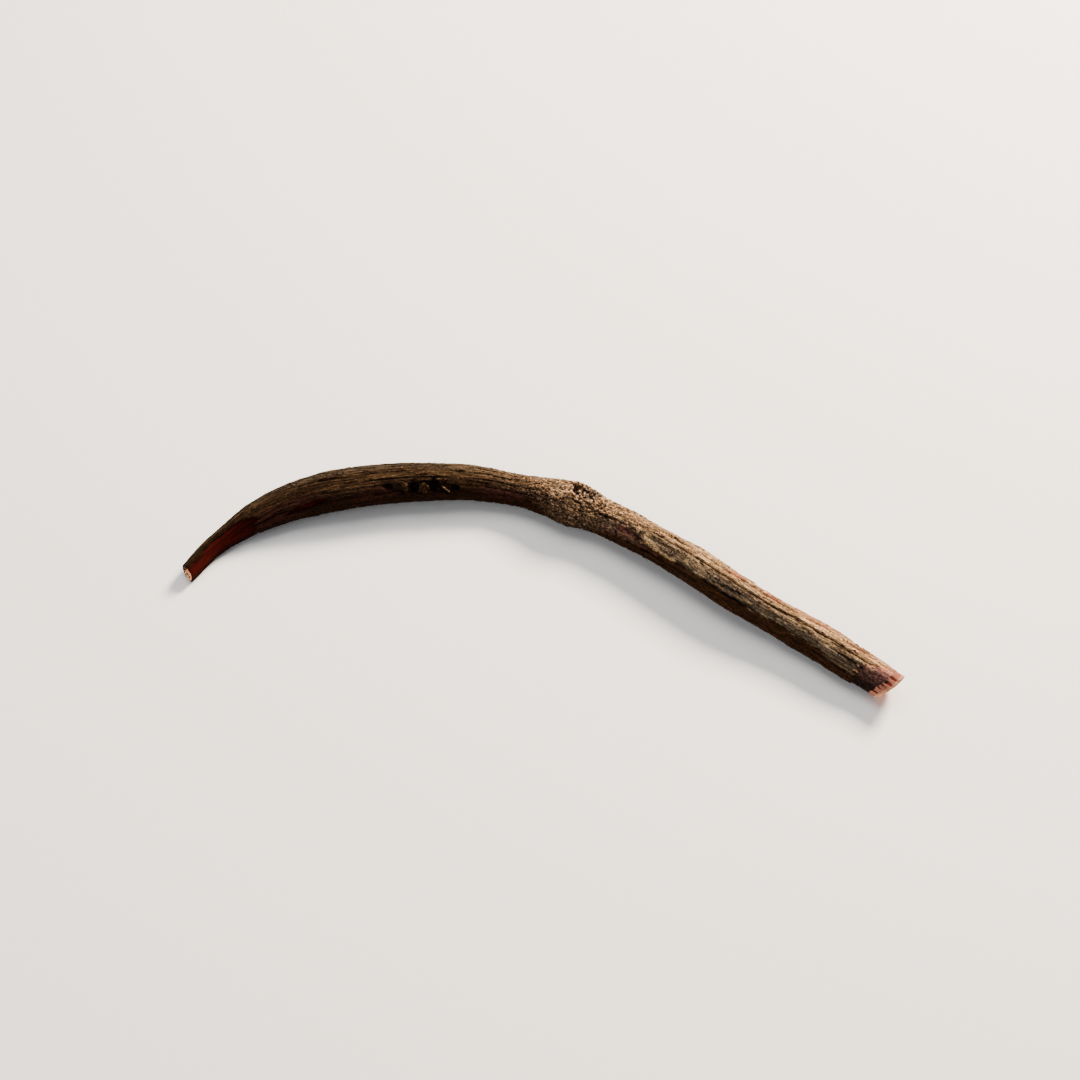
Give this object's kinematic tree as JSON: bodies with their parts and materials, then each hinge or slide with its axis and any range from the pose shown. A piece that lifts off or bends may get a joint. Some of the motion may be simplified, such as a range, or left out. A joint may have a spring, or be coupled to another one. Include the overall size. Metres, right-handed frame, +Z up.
{
  "type": "indian madder root",
  "caption": "Dried, cut madder root lying on a surface: a long bent root with ridged brown bark, a knob with a scar, red wood bared at one end and slanted cut faces.",
  "frame": {"origin": "middle of the bottom of the root's box, on the surface that it lies on", "axes": "+X along the root's longest side, towards the thick cut end; +Z up from the surface; the inner side of the bend faces -Y"},
  "size_m": [0.1336, 0.0511, 0.0088],
  "materials": {
    "bark": "dry, ridged and cracked brown-grey root bark",
    "red_wood": "bare dark red wood, dry and fibrous",
    "cut_wood": "freshly cut porous orange-red wood"
  },
  "bodies": {
    "root": {"madder_root": "bark"}
  },
  "joints": []
}
